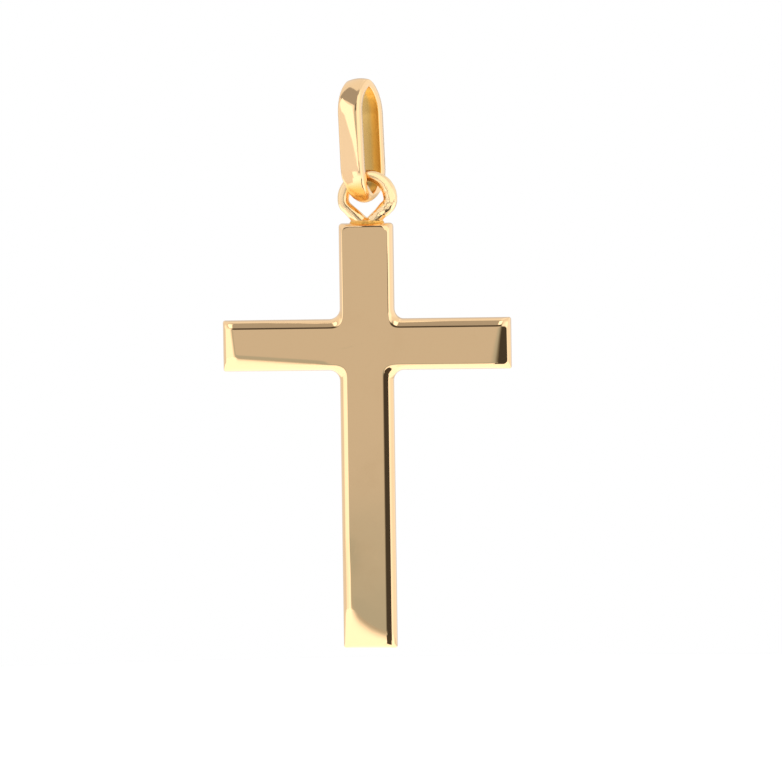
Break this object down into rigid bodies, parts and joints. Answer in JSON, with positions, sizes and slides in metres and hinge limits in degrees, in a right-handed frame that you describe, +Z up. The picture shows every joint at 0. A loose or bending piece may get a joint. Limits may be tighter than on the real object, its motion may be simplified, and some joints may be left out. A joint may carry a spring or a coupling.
{
  "type": "cross pendant",
  "caption": "Plain polished gold Latin cross pendant hanging by a soldered wire loop from a tall oval bail that a chain runs through.",
  "frame": {"origin": "the top of the opening of the bail, where the chain carries the pendant", "axes": "+Z up, +X to the right and -Y towards the viewer as seen from the front face"},
  "size_m": [0.0204, 0.0041, 0.0399],
  "materials": {
    "cross_gold": "polished yellow gold, lightly worn",
    "bail_gold": "polished yellow gold, lightly worn"
  },
  "bodies": {
    "bail": {"bail": "bail_gold"},
    "cross": {"cross": "cross_gold"}
  },
  "joints": [
    {"name": "cross_swing", "type": "hinge", "parent": "bail", "child": "cross", "pos_m": [0, -0.00006, -0.00668], "axis": [1, 0, 0], "range_deg": [-40, 40]}
  ]
}
